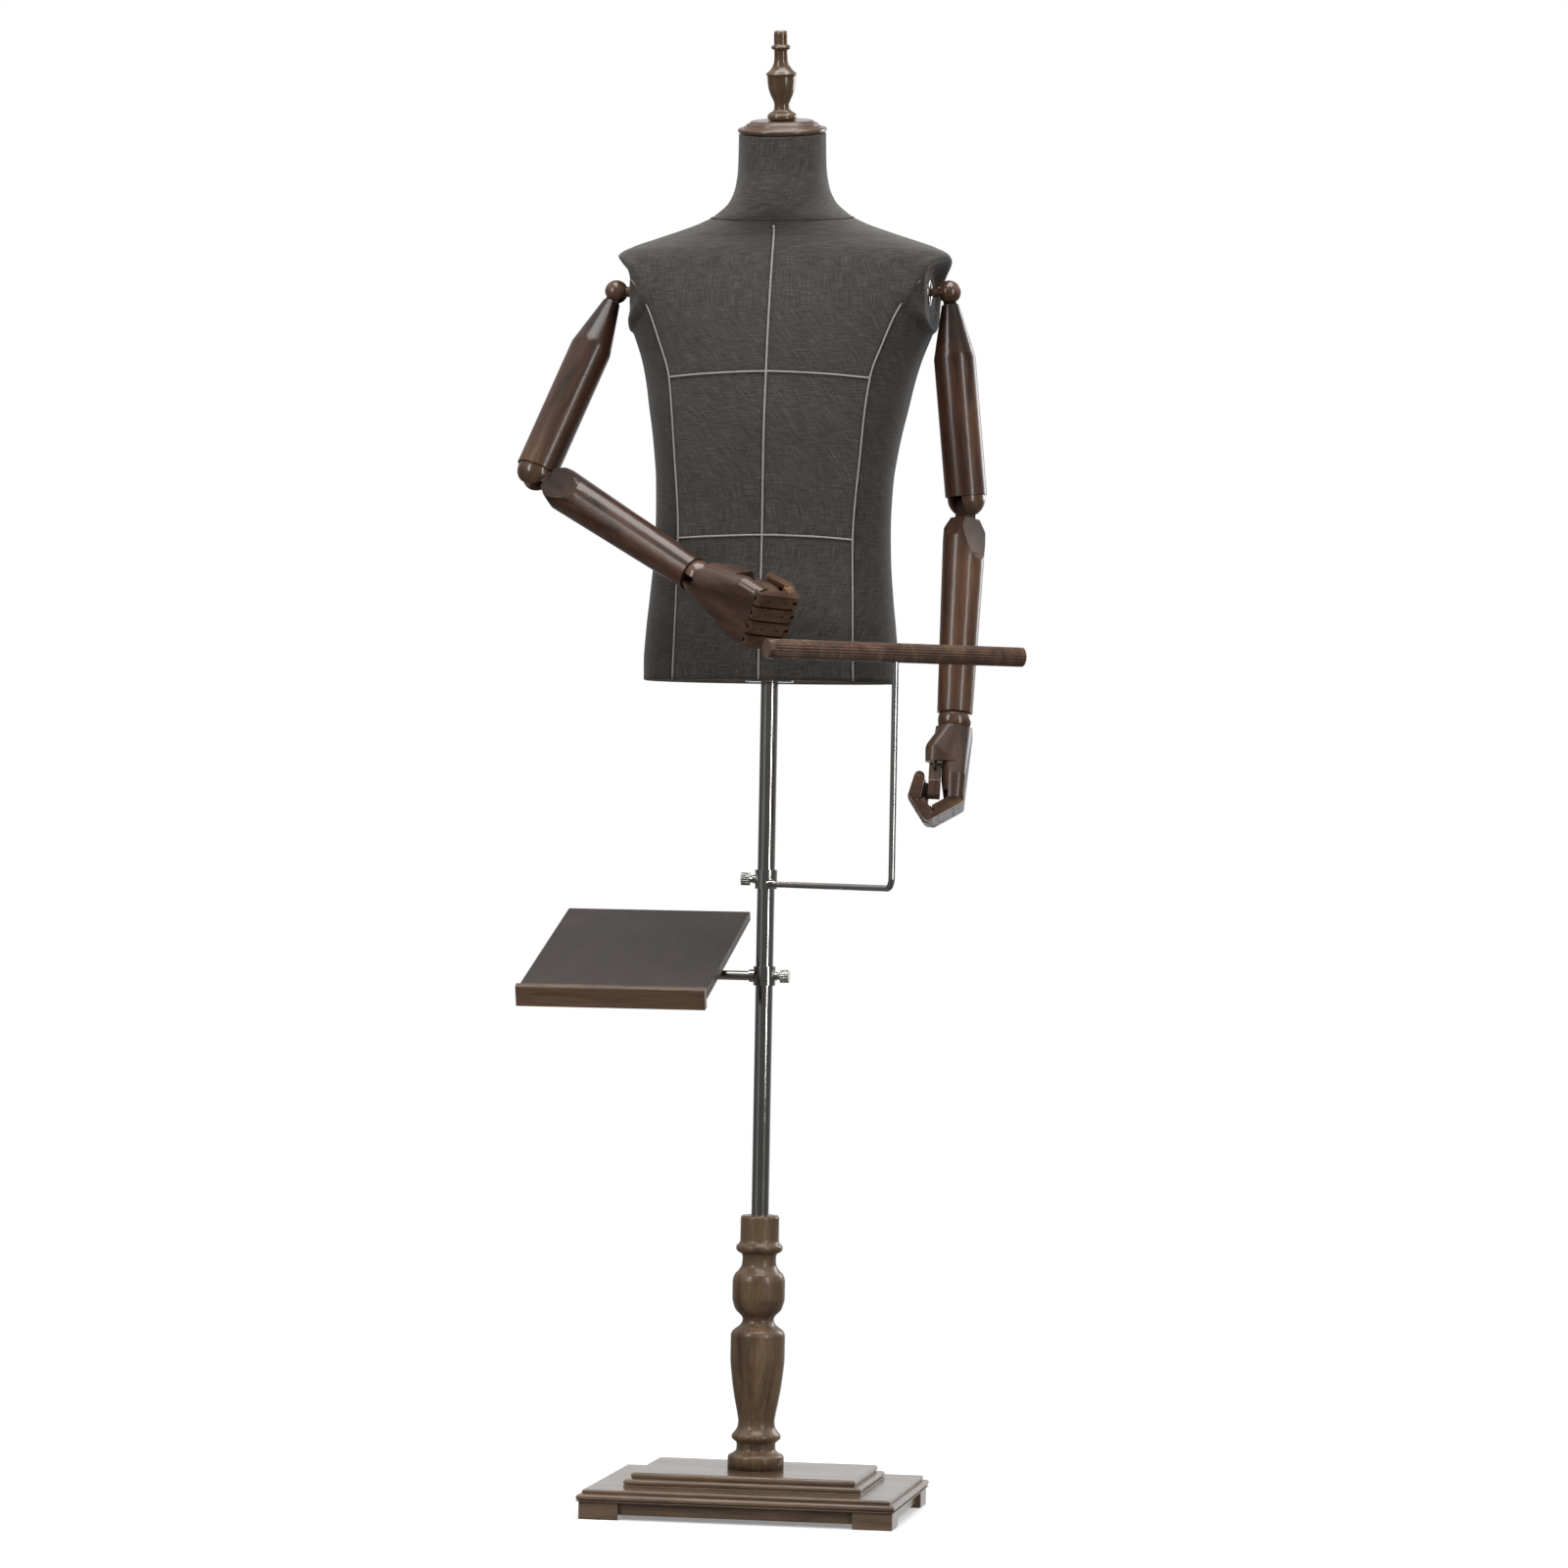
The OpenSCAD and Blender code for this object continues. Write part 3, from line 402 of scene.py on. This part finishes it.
# seam lines: height and sideways position on the front, in mm
PRINCESS_R = [[1046, -112], [1136, -110], [1224, -110], [1334, -118], [1427, -128], [1477, -145], [1512, -159], [1535, -172], [1549, -182], [1564, -195], [1579, -208]]
PRINCESS_L = [[1046, 117], [1138, 114.5], [1224, 112], [1335, 119], [1427, 128], [1475, 143], [1512, 157.5], [1536, 171], [1555, 185], [1574, 203], [1582, 210]]
CHEST = [[-128, 1427.3], [-64, 1430.6], [0, 1432.7], [66, 1430.8], [128, 1427.1]]
WAIST = [[-110, 1223.8], [-50, 1226], [4, 1227.4], [65, 1226.2], [112, 1223.4]]


def front_angle(x, z, e=1.25, base=-90.0):
    """angle whose surface point has sideways position x on the front half"""
    lo, hi = -180.0, 0.0
    for _ in range(40):
        m = (lo + hi) / 2
        if surf(m, z, e).x < x:
            lo = m
        else:
            hi = m
    return (lo + hi) / 2


def on_front(x, zt, e=1.25):
    """surface point on the front at x and true height zt"""
    z = zt
    for _ in range(4):
        p = surf(front_angle(x, z, e), z, e)
        z += zt - p.z
    return surf(front_angle(x, z, e), z, e)


def seam_pts(kind, e):
    P = []
    if kind == "centre":
        z = 1047.0
        while z < 1619:
            P.append(on_front(1.0, z, e))
            z += 6
        P.append(on_front(0.0, 1620.0, e))
    elif kind in ("pr", "pl"):
        T = PRINCESS_R if kind == "pr" else PRINCESS_L
        z = 1047.0
        while z <= T[-1][0]:
            P.append(on_front(table(T, z), z, e))
            z += 4 if z > 1440 else 6
    else:
        T = CHEST if kind == "chest" else WAIST
        n = 48
        for i in range(n + 1):
            x = T[0][0] + (T[-1][0] - T[0][0]) * i / n
            P.append(on_front(x, table(T, x), e))
    return P


SEAMS = {k: seam_pts(k, 1.25) for k in ("centre", "pr", "pl", "chest", "waist")}

# neck seam: a ring dropping at the front
NECK = []
for i in range(120):
    w = i * 3.0
    front = 0.5 - 0.5 * math.sin(math.radians(w))     # 1 at the front, 0 at the back
    NECK.append((w, 1640 - 5 * front))

SEG = 288
zs = [1047.0]
while zs[-1] < 1742:
    step = 5.0 if zs[-1] < 1470 else 2.6 if zs[-1] < 1660 else 4.5
    zs.append(min(1742.0, zs[-1] + step))
ALL = [p for k in SEAMS for p in SEAMS[k]]
from mathutils.kdtree import KDTree
kd = KDTree(len(ALL))
for i, p in enumerate(ALL):
    kd.insert(p, i)
kd.balance()


def neck_z(w):
    front = 0.5 - 0.5 * math.sin(math.radians(w))
    return 1640 - 5 * front


verts, uvs, dist, side = [], [], [], []
wn = [360 * i / SEG for i in range(SEG)]
acc = 0.0
rows = []
for r, z in enumerate(zs):
    if r:
        acc += (surf(-90, z) - surf(-90, zs[r - 1])).length
    row, u, last = [], 0.0, None
    for i, w in enumerate(wn):
        p = surf(w, z)
        nz = abs(z - neck_z(w))
        # cloth dips a little where it is sewn
        d = kd.find(p)[2]
        q = surf(w, z, 1.25 - 0.45 * math.exp(-(d / 3.5) ** 2) - 0.5 * math.exp(-(nz / 2.6) ** 2))
        if z < 1053:
            q = surf(w, z, 1.25 + 0.35 * math.exp(-((z - 1049) / 3.0) ** 2))
        rc = recess(q.y, z)
        if rc > 0 and abs(q.x) > 150:
            # over the hollow round the arm's plate the cloth bridges a little, so it clears the shell's edge
            q.x += math.copysign(smooth(rc / 0.12) * (2.2 + 12.0 * rc * (1 - rc)), q.x)
        row.append(len(verts))
        verts.append(q * MM)
        if last is not None:
            u += (p - last).length
        last = p
        uvs.append((u * MM, acc * MM))
        dist.append(min(d, 40.0) if nz > 3 else min(d, 40.0))
        xs = table(PRINCESS_L if p.x > 0 else PRINCESS_R, min(1579.0, p.z))
        out = (abs(p.x) - abs(xs)) / 10.0
        side.append(smooth(out + 0.5) * (1.0 if p.z < 1580 else 0.0) if p.y < 75 else smooth((110 - p.y) / 20) * (1.0 if p.z < 1575 else 0.0))
    rows.append(row)
# the cloth turns under at the hem
under = []
for i, w in enumerate(wn):
    q = surf(w, 1047, -1.0)
    q.z = 1046.2
    under.append(len(verts))
    verts.append(q * MM)
    uvs.append((uvs[i][0], -0.004))
    dist.append(40.0)
    side.append(side[i])
faces = []
for r in range(len(rows) - 1):
    for i in range(SEG):
        j = (i + 1) % SEG
        f = (rows[r][i], rows[r][j], rows[r + 1][j], rows[r + 1][i])
        m = sum((verts[v] for v in f), Vector()) / 4 / MM
        if abs(m.x) > 170 and math.hypot(m.y - 40, m.z - 1543) < 12.5:
            continue
        faces.append(f)
for i in range(SEG):
    j = (i + 1) % SEG
    faces.append((under[i], under[j], rows[0][j], rows[0][i]))
me = bpy.data.meshes.new("linen_cover")
me.from_pydata([tuple(v) for v in verts], [], faces)
uvl = me.uv_layers.new(name="cloth")
for poly in me.polygons:
    us = [uvs[me.loops[l].vertex_index] for l in poly.loop_indices]
    mx = max(u[0] for u in us)
    for l, u in zip(poly.loop_indices, us):
        uu = u[0]
        if mx - uu > 0.3:      # the ring closes at the side seam
            uu = mx + 0.003
        uvl.data[l].uv = (uu, u[1])
# seam_dist also drives the painted shade beside the seams in the linen material
at = me.attributes.new("seam_dist", "FLOAT", "POINT")
at.data.foreach_set("value", dist)
a2 = me.attributes.new("side_panel", "FLOAT", "POINT")
a2.data.foreach_set("value", side)
me.shade_smooth()
cover = bpy.data.objects.new("linen_cover", me)
bpy.context.scene.collection.objects.link(cover)

t = Tree("charcoal_linen")
uv = t.coords(None, (1, 1, 1), "UV")
warp = t.coords(None, (1, 0.045, 1), "UV")
weft = t.coords(None, (0.05, 1, 1), "UV")
a = t.noise(warp, 900, 3, 0.6)
b = t.noise(weft, 900, 3, 0.6)
c = t.noise(uv, 520, 3, 0.7)
big = t.noise(uv, 9, 3, 0.5)
slub = t.noise(t.coords(None, (0.16, 1, 1), "UV"), 380, 2, 0.5)
slub2 = t.noise(t.coords(None, (1, 0.16, 1), "UV"), 360, 2, 0.5)
thread = t.math("ADD", t.math("MULTIPLY", a, 0.5), t.math("MULTIPLY", b, 0.5))
lo, md, hi = lin(34, 33, 31), lin(61, 58, 55), lin(100, 96, 91)
c1 = t.ramp(thread, [(0.36, lo), (0.5, md), (0.64, hi)])
c2 = t.ramp(c, [(0.32, lin(42, 40, 38)), (0.5, lin(63, 60, 57)), (0.68, lin(90, 86, 81))])
col = t.mix(c1, c2, 0.4)
s = t.math("ADD", t.math("MULTIPLY", slub, 0.5), t.math("MULTIPLY", slub2, 0.5))
col = t.mix(col, t.ramp(s, [(0.36, (0.78, 0.78, 0.78, 1)), (0.5, (0.98, 0.98, 0.98, 1)), (0.64, (1.2, 1.19, 1.17, 1))]), 0.8, "MULTIPLY")
col = t.mix(col, t.ramp(big, [(0.3, (0.93, 0.93, 0.93, 1)), (0.7, (1.06, 1.05, 1.04, 1))]), 1.0, "MULTIPLY")
# painted shade: the linen is darkened within about 6 mm of each piped seam, standing in for the shade in the groove
# beside the cord
sd = t.new("ShaderNodeAttribute", attribute_name="seam_dist")
seam_shade = t.ramp(t.math("DIVIDE", sd.outputs["Fac"], 10.0), [(0.0, (0.55, 0.54, 0.53, 1)), (0.28, (0.72, 0.72, 0.72, 1)), (0.6, (1, 1, 1, 1))])
col = t.mix(col, seam_shade, 0.85, "MULTIPLY")
sp = t.new("ShaderNodeAttribute", attribute_name="side_panel")
col = t.mix(col, t.ramp(sp.outputs["Fac"], [(0.0, (1, 1, 1, 1)), (1.0, (0.70, 0.68, 0.67, 1))]), 1.0, "MULTIPLY")
t.link(col, t.b.inputs["Base Color"])
# plain weave, one thread over and one under
wv = []
for ax_, sc in (("X", 1), ("Y", 1)):
    w_ = t.new("ShaderNodeTexWave", wave_type="BANDS", bands_direction=ax_, wave_profile="SIN")
    w_.inputs["Scale"].default_value = 260
    w_.inputs["Distortion"].default_value = 0.6
    w_.inputs["Detail"].default_value = 1.0
    t.link(uv, w_.inputs["Vector"])
    wv.append(w_.outputs[1])
weave = t.math("MULTIPLY", wv[0], wv[1])
n = t.bump(weave, 0.30, 0.0003)
n = t.bump(thread, 0.25, 0.0004, n)
n = t.bump(s, 0.2, 0.0006, n)
t.link(n, t.b.inputs["Normal"])
t.link(t.grey(c, 0.82, 0.98), t.b.inputs["Roughness"])
t.set(Sheen_Weight=0.22, Sheen_Roughness=0.5, Specular_IOR_Level=0.15)
LINEN = t.mat
me.materials.append(LINEN)
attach(cover, "torso")
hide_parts("torso_cover")

t = Tree("piping_cord")
v = t.coords(None, (1, 1, 1))
tw = t.noise(v, 700, 3, 0.6)
t.link(t.ramp(tw, [(0.3, lin(118, 116, 111)), (0.5, lin(146, 144, 139)), (0.7, lin(170, 168, 162))]), t.b.inputs["Base Color"])
t.link(t.grey(tw, 0.72, 0.9), t.b.inputs["Roughness"])
t.link(t.bump(tw, 0.5, 0.0005), t.b.inputs["Normal"])
t.set(Sheen_Weight=0.3)
PIPING = t.mat

t = Tree("neck_seam_dark")
tw = t.noise(t.coords(None, (1, 1, 1)), 500, 3, 0.6)
t.link(t.ramp(tw, [(0.3, lin(40, 39, 37)), (0.7, lin(58, 56, 54))]), t.b.inputs["Base Color"])
t.link(t.grey(tw, 0.8, 0.95), t.b.inputs["Roughness"])
NECKMAT = t.mat


def tube(name, pts, r, closed=False, sides=8, flat=1.0, centre=None):
    """a round cord through the points (mm), as a mesh"""
    n = len(pts)
    V, F = [], []
    for i, p in enumerate(pts):
        if closed:
            d = (pts[(i + 1) % n] - pts[i - 1]).normalized()
        else:
            d = (pts[min(n - 1, i + 1)] - pts[max(0, i - 1)]).normalized()
        ref = Vector((p.x, p.y - 25, 0)).normalized() if centre is None else centre(p)
        u = (ref - ref.dot(d) * d).normalized()
        v = d.cross(u)
        for k in range(sides):
            a_ = 2 * math.pi * k / sides
            V.append((p + (u * math.cos(a_) * flat + v * math.sin(a_)) * r) * MM)
    for i in range(n if closed else n - 1):
        j = (i + 1) % n
        for k in range(sides):
            l = (k + 1) % sides
            F.append((i * sides + k, i * sides + l, j * sides + l, j * sides + k))
    if not closed:
        F.append(tuple(range(sides))[::-1])
        F.append(tuple((n - 1) * sides + k for k in range(sides)))
    m = bpy.data.meshes.new(name)
    m.from_pydata([tuple(q) for q in V], [], F)
    m.shade_smooth()
    o = bpy.data.objects.new(name, m)
    bpy.context.scene.collection.objects.link(o)
    return o


for k in SEAMS:
    P = seam_pts(k, 1.75)
    o = tube("piping_" + {"pr": "right", "pl": "left"}.get(k, k), P, 1.25, sides=10, flat=0.8)
    o.data.materials.append(PIPING)
    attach(o, "torso")

neck = [surf(w, z, 1.1) for w, z in NECK]
o = tube("neck_seam", neck, 0.7, closed=True, sides=6)
o.data.materials.append(NECKMAT)
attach(o, "torso")

# ------------------------------------------------------------------ peg ends on the backs of the fingers
t = Tree("peg_dark")
pn = t.noise(t.coords(None, (1, 1, 1)), 900, 2)
t.link(t.ramp(pn, [(0.3, lin(16, 10, 8)), (0.7, lin(34, 22, 17))]), t.b.inputs["Base Color"])
t.link(t.grey(pn, 0.45, 0.65), t.b.inputs["Roughness"])
PEG = t.mat


def disc(name, centre, normal, r, h):
    """a shallow domed peg end, in mm"""
    nrm = normal.normalized()
    u = nrm.orthogonal().normalized()
    v = nrm.cross(u)
    V, F = [], []
    rings = [(r, -0.6), (r, h * 0.3), (r * 0.8, h * 0.85), (r * 0.4, h)]
    m = 16
    for rr, hh in rings:
        for k in range(m):
            a_ = 2 * math.pi * k / m
            V.append((centre + (u * math.cos(a_) + v * math.sin(a_)) * rr + nrm * hh) * MM)
    for i in range(len(rings) - 1):
        for k in range(m):
            l = (k + 1) % m
            F.append((i * m + k, i * m + l, (i + 1) * m + l, (i + 1) * m + k))
    F.append(tuple((len(rings) - 1) * m + k for k in range(m)))
    F.append(tuple(range(m))[::-1])
    me_ = bpy.data.meshes.new(name)
    me_.from_pydata([tuple(q) for q in V], [], F)
    me_.shade_smooth()
    o_ = bpy.data.objects.new(name, me_)
    bpy.context.scene.collection.objects.link(o_)
    o_.data.materials.append(PEG)
    return o_


FL = [0.97, 1.0, 0.96, 0.84]
for k in "lr":
    sx = -1 if k == "l" else 1
    Z, X = D2[k], HX[k]
    Y = Z.cross(X)

    def hp(x, y, z):
        return W[k] + sx * x * X + y * Y + z * Z

    for i, f in enumerate(("index", "middle", "ring", "little")):
        x = (1.5 - i) * 19.5
        a = math.radians(58)
        out = -math.sin(a), math.cos(a)                 # direction of the first segment (y, z)
        dorsal = math.cos(a), math.sin(a)               # outwards on its back
        L = 44 * FL[i]
        for s_ in (11.0, L - 11.0):
            c0 = hp(x, 10 + out[0] * s_ + dorsal[0] * 7.5, 104 + out[1] * s_ + dorsal[1] * 7.5)
            o = disc("peg_%s_%d_%s" % (f, 1 if s_ < 20 else 2, k), c0, dorsal[0] * Y + dorsal[1] * Z, 1.5, 0.25)
            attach(o, "%s_1_%s" % (f, k))
        b_ = math.radians(58 + 88)
        out2 = -math.sin(b_), math.cos(b_)
        dor2 = math.cos(b_), math.sin(b_)
        y1, z1 = 10 + out[0] * L, 104 + out[1] * L
        L2 = 32 * FL[i]
        c0 = hp(x, y1 + out2[0] * L2 * 0.5 + dor2[0] * 7.5, z1 + out2[1] * L2 * 0.5 + dor2[1] * 7.5)
        o = disc("peg_%s_3_%s" % (f, k), c0, dor2[0] * Y + dor2[1] * Z, 1.4, 0.25)
        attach(o, "%s_2_%s" % (f, k))

# ------------------------------------------------------------------ floor, light, camera
bpy.ops.mesh.primitive_plane_add(size=40, location=(0, 0, 0))
floor = bpy.context.object
floor.name = "studio_floor"
t = Tree("studio_floor")
sep = t.new("ShaderNodeVectorMath", operation="LENGTH")
t.link(t.coords(None, (1, 1.0, 0)), sep.inputs[0])
far = t.grey(sep.outputs["Value"], 0.0, 1.0, 0.30, 1.15)
far = t.math("MULTIPLY", far, 1.0, clamp=True)
t.link(t.ramp(far, [(0.0, (0.80, 0.80, 0.80, 1)), (1.0, (0.0, 0.0, 0.0, 1))]), t.b.inputs["Base Color"])
t.link(t.ramp(far, [(0.0, (0.24, 0.24, 0.24, 1)), (1.0, (1.0, 1.0, 1.0, 1))]), t.b.inputs["Emission Color"])
t.set(Roughness=0.9, Specular_IOR_Level=0.0, Emission_Strength=1.0)
floor.data.materials.append(t.mat)
floor.visible_diffuse = False
floor.visible_glossy = False
floor.visible_shadow = False
floor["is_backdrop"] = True

world = bpy.data.worlds.new("studio")
bpy.context.scene.world = world
world.use_nodes = True
wt = world.node_tree
bg = wt.nodes["Background"]
tc = wt.nodes.new("ShaderNodeTexCoord")
sx_ = wt.nodes.new("ShaderNodeSeparateXYZ")
wt.links.new(tc.outputs["Generated"], sx_.inputs[0])


def world_ramp(value, stops):
    m = wt.nodes.new("ShaderNodeMapRange")
    m.inputs["From Min"].default_value = -1.0
    m.inputs["From Max"].default_value = 1.0
    wt.links.new(value, m.inputs["Value"])
    r = wt.nodes.new("ShaderNodeValToRGB")
    e = r.color_ramp.elements
    while len(e) < len(stops):
        e.new(0.5)
    for i_, (p_, v_) in enumerate(stops):
        e[i_].position = p_
        e[i_].color = (v_, v_, v_, 1)
    wt.links.new(m.outputs[0], r.inputs[0])
    return r.outputs[0]


# a dim room, lighter overhead, with a soft light wall on the left and a narrow one on the right
up = world_ramp(sx_.outputs[2], [(0.0, 0.16), (0.45, 0.20), (0.60, 0.34), (1.0, 0.95)])
across = world_ramp(sx_.outputs[0], [(0.0, 0.30), (0.14, 1.5), (0.22, 1.5), (0.30, 0.30), (0.52, 0.42), (0.74, 0.30), (0.82, 1.3), (0.90, 1.3), (1.0, 0.35)])
mul = wt.nodes.new("ShaderNodeMix")
mul.data_type = "RGBA"
mul.blend_type = "MULTIPLY"
mul.inputs[0].default_value = 1.0
wt.links.new(up, mul.inputs[6])
wt.links.new(across, mul.inputs[7])
add = wt.nodes.new("ShaderNodeMix")
add.data_type = "RGBA"
add.blend_type = "ADD"
add.inputs[0].default_value = 0.45
wt.links.new(mul.outputs[2], add.inputs[6])
wt.links.new(up, add.inputs[7])
back = world_ramp(sx_.outputs[1], [(0.0, 0.42), (0.90, 0.42), (0.955, 1.0), (1.0, 1.0)])
gl = wt.nodes.new("ShaderNodeMix")
gl.data_type = "RGBA"
gl.blend_type = "MULTIPLY"
gl.inputs[0].default_value = 1.0
wt.links.new(add.outputs[2], gl.inputs[6])
wt.links.new(back, gl.inputs[7])
bk = wt.nodes.new("ShaderNodeMix")
bk.data_type = "RGBA"
bk.inputs[7].default_value = (1, 1, 1, 1)
wt.links.new(world_ramp(sx_.outputs[1], [(0.0, 0.0), (0.92, 0.0), (0.97, 0.66), (1.0, 0.66)]), bk.inputs[0])
wt.links.new(gl.outputs[2], bk.inputs[6])
lp = wt.nodes.new("ShaderNodeLightPath")
mirror = wt.nodes.new("ShaderNodeMix")
mirror.data_type = "RGBA"
wt.links.new(lp.outputs["Is Glossy Ray"], mirror.inputs[0])
wt.links.new(add.outputs[2], mirror.inputs[6])
wt.links.new(bk.outputs[2], mirror.inputs[7])
seen = wt.nodes.new("ShaderNodeMix")
seen.data_type = "RGBA"
seen.inputs[7].default_value = (1, 1, 1, 1)
wt.links.new(lp.outputs["Is Camera Ray"], seen.inputs[0])
wt.links.new(mirror.outputs[2], seen.inputs[6])
wt.links.new(seen.outputs[2], bg.inputs[0])
bg.inputs[1].default_value = 1.0


def area_light(name, loc, target, size, size_y, power, color=(1, 1, 1)):
    d = bpy.data.lights.new(name, "AREA")
    d.shape = "RECTANGLE"
    d.size, d.size_y = size, size_y
    d.energy = power
    d.color = color
    o_ = bpy.data.objects.new(name, d)
    bpy.context.scene.collection.objects.link(o_)
    o_.location = loc
    o_.visible_camera = False
    o_.rotation_mode = "QUATERNION"
    o_.rotation_quaternion = (Vector(target) - Vector(loc)).to_track_quat("-Z", "Y")
    return o_


area_light("key_strip", (-2.2, -3.0, 2.6), (0, 0, 1.2), 0.8, 2.4, 46)
area_light("top_soft", (0.2, -0.6, 4.2), (0, 0, 0.6), 2.6, 2.6, 104)
area_light("back_fill", (2.7, 3.4, 2.4), (0, 0, 1.2), 1.6, 2.4, 60)
area_light("right_strip", (2.6, -2.2, 1.6), (0, 0, 1.1), 0.35, 2.4, 30)

cam_d = bpy.data.cameras.new("camera")
cam = bpy.data.objects.new("camera", cam_d)
bpy.context.scene.collection.objects.link(cam)
cam_d.sensor_width = 36
cam_d.sensor_fit = "HORIZONTAL"
cam_d.lens = 127.28
cam_d.clip_end = 100
R0 = Vector((0.98555918, 0.16837921, 0.01793153))
R1 = Vector((0.01620257, 0.01163663, -0.99980101))
R2 = Vector((-0.16855437, 0.98565361, 0.00874041))
M = Matrix((R0, -R1, -R2)).transposed().to_4x4()
M.translation = Vector((1.20006, -6.89636, 0.85651))
cam.matrix_world = M
bpy.context.scene.camera = cam
sc = bpy.context.scene
sc.view_settings.view_transform = "Standard"
sc.view_settings.look = "None"
sc.view_settings.exposure = 0.0
sc.view_settings.gamma = 1.0

lo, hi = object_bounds()
